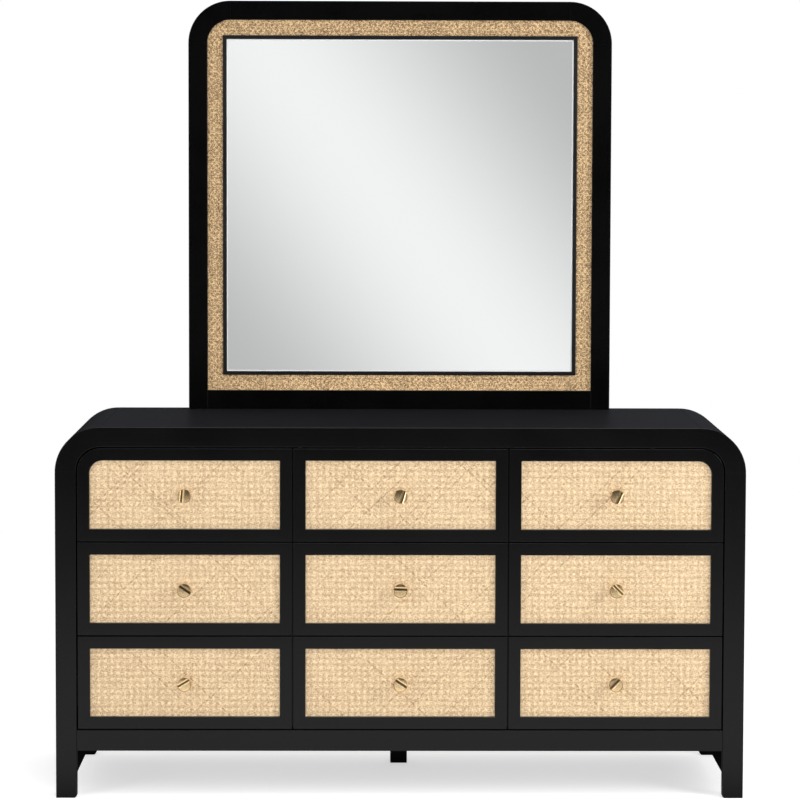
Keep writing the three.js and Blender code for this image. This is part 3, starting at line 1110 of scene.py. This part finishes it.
knob = {
    "radius": 16 * mm,
    "footRadius": 9 * mm,
    "neckRadius": 6 * mm,
    "domeRise": 0.6 * mm,
    "rimRound": 2.3 * mm,
    "rimSteps": 4,
    "grooveRadius": 6.2 * mm,
    "grooveDepth": 3.2 * mm,
    "grooveOffset": 5.2 * mm,  # the groove's middle off the disc's
    "grooveSteps": 96,
    "onGroove": 0.03 * mm,  # a point this near the scoop lies on it
    "lip": 0.8 * mm,
    "lipAngle": 35,  # degrees from which an edge is softened
    "age": ((-0.88, -1), (-0.70, 1), (0.20, 1), (0.55, 0)),  # across the groove, of its radius: -1 is a painted highlight, 1 is patina and painted shade
    # how dark the rim's painted reflection is
    "rimShade": 1.0,
    "rimShare": 0.8,  # of the rim that takes the painted dark reflection
    "turns": (85, -107, -114, -34, -2, -45, 31, -34, 46),  # the grooves' angles from level
    "spinSteps": 64,
}


# turned about Y, pointing to the front from the origin: foot, neck, flare and gently domed face
def turnedKnob(length):
    r, rise, foot, neck = knob["radius"], knob["domeRise"], knob["footRadius"], knob["neckRadius"]
    profile = [
        (0, 0), (foot, 0), (foot, 1.6 * mm), (neck + 1.2 * mm, 3 * mm), (neck, 5 * mm),
        (neck, 15 * mm), (neck + 0.8 * mm, 18 * mm), (neck + 2.5 * mm, 20.4 * mm),
        (r - 3.4 * mm, 22.4 * mm), (r - 1 * mm, 23.7 * mm), (r, 25.5 * mm),
    ]
    turn, steps = knob["rimRound"], knob["rimSteps"]
    for i in range(steps + 1):
        angle = math.radians(90 * i / steps)
        profile.append((r - turn * (1 - math.cos(angle)), length - rise - turn * (1 - math.sin(angle))))
    inner = r - turn
    profile += [(inner * share, length - rise * share * share) for share in (0.8, 0.6, 0.4, 0.2, 0)]
    bm = bmesh.new()
    verts = [bm.verts.new((radius, -height, 0)) for radius, height in profile]
    edges = [bm.edges.new(pair) for pair in zip(verts, verts[1:])]
    bmesh.ops.spin(
        bm, geom=verts + edges, cent=(0, 0, 0), axis=(0, 1, 0), angle=2 * math.pi,
        steps=knob["spinSteps"], use_merge=True,
    )
    bmesh.ops.remove_doubles(bm, verts=bm.verts, dist=touch)
    bmesh.ops.recalc_face_normals(bm, faces=bm.faces)
    return bm


# straight from one stop to the next, and level beyond the end ones
def alongStops(at, stops):
    for (low, first), (high, second) in zip(stops, stops[1:]):
        if at < high:
            return first + (second - first) * max(0, (at - low) / (high - low))
    return stops[-1][1]


# patina and painted shade on the near side of the groove, a painted dark reflection round the rim, and a
# painted highlight on the lips
def paintKnobLight(shape, length):
    bm = bmesh.new()
    bm.from_mesh(shape)
    layer = bm.verts.layers.float.new("age")
    axis = length - knob["grooveDepth"] + knob["grooveRadius"]
    flat = knob["radius"] - knob["rimRound"]
    for vert in bm.verts:
        across = vert.co.z - knob["grooveOffset"]
        off = math.hypot(across, vert.co.y + axis)
        face = -vert.co.y > length - knob["domeRise"] - knob["rimRound"]
        out = math.hypot(vert.co.x, vert.co.z)
        if abs(off - knob["grooveRadius"]) < knob["onGroove"]:
            vert[layer] = alongStops(across / knob["grooveRadius"], knob["age"])
        elif face and off < knob["grooveRadius"] + knob["lip"] and out < flat:
            vert[layer] = -1
        elif out > knob["radius"] - knob["rimRound"] * knob["rimShare"]:
            vert[layer] = knob["rimShade"]
    bm.to_mesh(shape)
    bm.free()


# scoops the groove along X and softens its lips
def groovedKnob(length):
    blank = meshObject("knob_blank", turnedKnob(length))
    axis = (0, -(length - knob["grooveDepth"] + knob["grooveRadius"]), knob["grooveOffset"])
    bm = bmesh.new()
    bmesh.ops.create_cone(
        bm, cap_ends=True, segments=knob["grooveSteps"], radius1=knob["grooveRadius"],
        radius2=knob["grooveRadius"], depth=4 * knob["radius"],
        matrix=Matrix.Translation(axis) @ Matrix.Rotation(math.radians(90), 4, "Y"),
    )
    scoop = meshObject("knob_scoop", bm)
    cutter = blank.modifiers.new("scoop", "BOOLEAN")
    cutter.operation = "DIFFERENCE"
    cutter.solver = "EXACT"
    cutter.object = scoop
    soften = blank.modifiers.new("soften", "BEVEL")
    soften.width = knob["lip"]
    soften.segments = 3
    soften.limit_method = "ANGLE"
    soften.angle_limit = math.radians(knob["lipAngle"])
    shape = bpy.data.meshes.new_from_object(blank.evaluated_get(bpy.context.evaluated_depsgraph_get()))
    bpy.data.objects.remove(blank)
    bpy.data.objects.remove(scoop)
    paintKnobLight(shape, length)
    return shape


def placeKnobs():
    low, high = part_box("drawer_5_knob")
    shape = groovedKnob(high.y - low.y)
    knobs = []
    for number, turn in zip(drawerNumbers, knob["turns"]):
        body = f"drawer_{number}"
        low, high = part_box(f"{body}_knob")
        middle = (low + high) / 2
        bm = bmesh.new()
        bm.from_mesh(shape)
        around = Matrix.Rotation(-math.radians(turn), 3, "Y")
        bmesh.ops.rotate(bm, cent=(0, 0, 0), matrix=around, verts=bm.verts)
        bmesh.ops.translate(bm, vec=(middle.x, high.y, middle.z), verts=bm.verts)
        knobs.append(makePiece(f"{body}_pull", bm, brass, body, [f"{body}_knob"]))
    return knobs


lightKnobs(placeKnobs())
print("knobs turned and grooved")


drawerBox = {
    "wall": 12 * mm,
    "bottomLift": 10 * mm,
    "bottom": 6 * mm,
    "arris": 0.8 * mm,
}


# the flanged strip on the drawer box, which runs in the channel
def movingMember(faceX, side, middle):
    t, reach = runner["steel"], runner["movingReach"]
    half, flange = runner["movingHalf"], runner["movingFlange"]
    outline = [
        (0, -half), (reach - t, -half), (reach - t, -flange), (reach, -flange), (reach, t - half),
        (t, t - half), (t, half - t), (reach, half - t), (reach, flange), (reach - t, flange),
        (reach - t, half), (0, half),
    ]
    return steelMember(outline, faceX, side, middle)


def placeBoxes():
    wall, lift = drawerBox["wall"], drawerBox["bottomLift"]
    slack = Vector((runner["movingReach"], 0, 0))

    def eased(boards):
        return gathered([ease(each, radius=drawerBox["arris"]) for each in boards])

    for number in drawerNumbers:
        body = f"drawer_{number}"
        low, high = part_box(f"{body}_box")
        low, high = low + slack, high - slack
        sides = [
            board((low.x, low.y, low.z), (low.x + wall, high.y, high.z)),
            board((high.x - wall, low.y, low.z), (high.x, high.y, high.z)),
        ]
        ends = [
            board((low.x + wall, low.y, low.z), (high.x - wall, low.y + wall, high.z)),
            board((low.x + wall, high.y - wall, low.z), (high.x - wall, high.y, high.z)),
        ]
        bottom = board((low.x + wall, low.y + wall, low.z + lift),
                       (high.x - wall, high.y - wall, low.z + lift + drawerBox["bottom"]))
        makePiece(f"{body}_sides", eased(sides), woodAlongY, body, [f"{body}_box"])
        makePiece(f"{body}_ends", eased(ends), woodAlongX, body)
        makePiece(f"{body}_bottom", bottom, woodAlongX, body)
        middle = low.z + runner["boxToMiddle"]
        members = [movingMember(low.x, -1, middle), movingMember(high.x, 1, middle)]
        makePiece(f"{body}_runners", gathered(members), steel, body)


placeBoxes()
print("drawer boxes made")


mirror = {
    "cornerRadius": 103 * mm,
    "joint": 0.1 * mm,  # half the gap between two members
    "play": 0.25 * mm,  # beside the bead
    "glassEdge": 5.5 * mm,
    "glassEdgeDepth": 0.7 * mm,
    "beadArris": 1.5 * mm,
}


def placeMirrorFrame():
    low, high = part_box("mirror_frame")
    gap = mirror["joint"]
    x, z = high.x - mirror["cornerRadius"], high.z - mirror["cornerRadius"]
    railEnds = [((x - gap, 0, 0), (1, 0, 0)), ((gap - x, 0, 0), (-1, 0, 0))]
    members = {"mirror_top_rail": (railEnds, mirrorAlongX)}
    for name, sign in (("left", -1), ("right", 1)):
        bend = [((sign * (x + gap), 0, 0), (-sign, 0, 0)), ((0, 0, z + gap), (0, 0, -1))]
        stile = [((0, 0, 0), (-sign, 0, 0)), ((0, 0, z - gap), (0, 0, 1))]
        members[f"mirror_corner_{name}"] = (bend, mirrorAlongZ)
        members[f"mirror_stile_{name}"] = (stile, mirrorAlongZ)
    whole = ease(nodeShape("mirror_frame"), [((0, 0, low.z), (0, 0, 1))])
    for name, (planes, material) in members.items():
        bm = whole.copy()
        for point, normal in planes:
            cutAway(bm, point, normal)
        stands = ["mirror_frame"] if name == "mirror_top_rail" else []
        makePiece(name, bm, material, stands=stands)
    whole.free()
    dressNode("mirror_foot_rail", "mirror_bottom_rail", mirrorAlongX, radius=arris["rail"])
    dressNode("mirror_rod", "mirror_bead", beadLacquer, radius=mirror["beadArris"])
    dressNode("mirror_back_board", "mirror_backing", hardboard, radius=arris["sheet"])
    for name in ("left", "right"):
        dressNode(f"mirror_batten_{name}", f"mirror_support_{name}", lacquerAlongZ)


# flat silvered glass, with a margin ground back all round
def placeGlass():
    low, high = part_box("mirror_glass")
    inward = Vector((mirror["glassEdge"], 0, mirror["glassEdge"]))

    def onRim(vert):
        sides = [abs(vert.co[axis] - corner[axis]) < touch for axis in (0, 2) for corner in (low, high)]
        return vert.co.y < low.y + touch and any(sides)

    pane = makePiece("mirror_pane", board(low + inward, high - inward), silver,
                     stands=["mirror_glass"])
    bm = board(low, high)
    middles = []
    for way in (-1, 1):  # front and back
        faces = [face for face in bm.faces if face.normal.y * way > 0.5]
        bmesh.ops.inset_region(bm, faces=faces, thickness=mirror["glassEdge"], use_even_offset=True)
        middles += faces
    bmesh.ops.bridge_loops(bm, edges=list({edge for face in middles for edge in face.edges}))
    bmesh.ops.delete(bm, geom=middles, context="FACES_ONLY")
    outer = [vert for vert in bm.verts if onRim(vert)]
    bmesh.ops.translate(bm, vec=(0, mirror["glassEdgeDepth"], 0), verts=outer)
    margin = makePiece("mirror_pane_margin", bm, groundGlass)
    pane.visible_glossy = False  # the lacquered top stays an even grey before it
    margin.visible_glossy = False
    return pane


def borderStrip(x0, x1, z0, z1, arcs=()):
    low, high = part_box("mirror_cane_border")
    middle = (low + high) / 2
    strands = caneStrands(borderWeave, x0, x1, z0, z1, middle.x, middle.z)
    return trimmedCane(strands, [*edgePlanes(x0, x1, z0, z1), *arcs], middle.y - weave["forward"])


def placeMirrorCane():
    low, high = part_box("mirror_cane_border")
    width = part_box("mirror_bead")[0].x - low.x - mirror["play"]
    radius = mirror["cornerRadius"] - (low.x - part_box("mirror_frame")[0].x)
    uprights = []
    levels = []
    for sign, x0, x1 in ((-1, low.x, low.x + width), (1, high.x - width, high.x)):
        arcs = arcPlanes(sign * (high.x - radius), high.z - radius, radius, sign)
        uprights.append(borderStrip(x0, x1, low.z, high.z, arcs))
    for z0, z1 in ((low.z, low.z + width), (high.z - width, high.z)):
        levels.append(borderStrip(low.x + width, high.x - width, z0, z1))
    sheets = [
        makePiece("mirror_weave_uprights", gathered(uprights), borderCane,
                  stands=["mirror_cane_border"]),
        makePiece("mirror_weave_levels", gathered(levels), borderCane),
    ]
    liner = nodeShape("mirror_cane_border")
    cutAway(liner, (0, high.y - weave["liner"], 0), (0, -1, 0))
    sheets.append(makePiece("mirror_liner", liner, brownLiner))
    for piece in sheets:
        piece.visible_glossy = False  # the lacquered top shows no brown streak
    return sheets


placeMirrorFrame()
addScreen(placeGlass())
mirrorCane = placeMirrorCane()
linkLight("overhead", mirrorCane, "EXCLUDE")
addPieceLight("mirror_foot", mirrorCane)
print("mirror made")
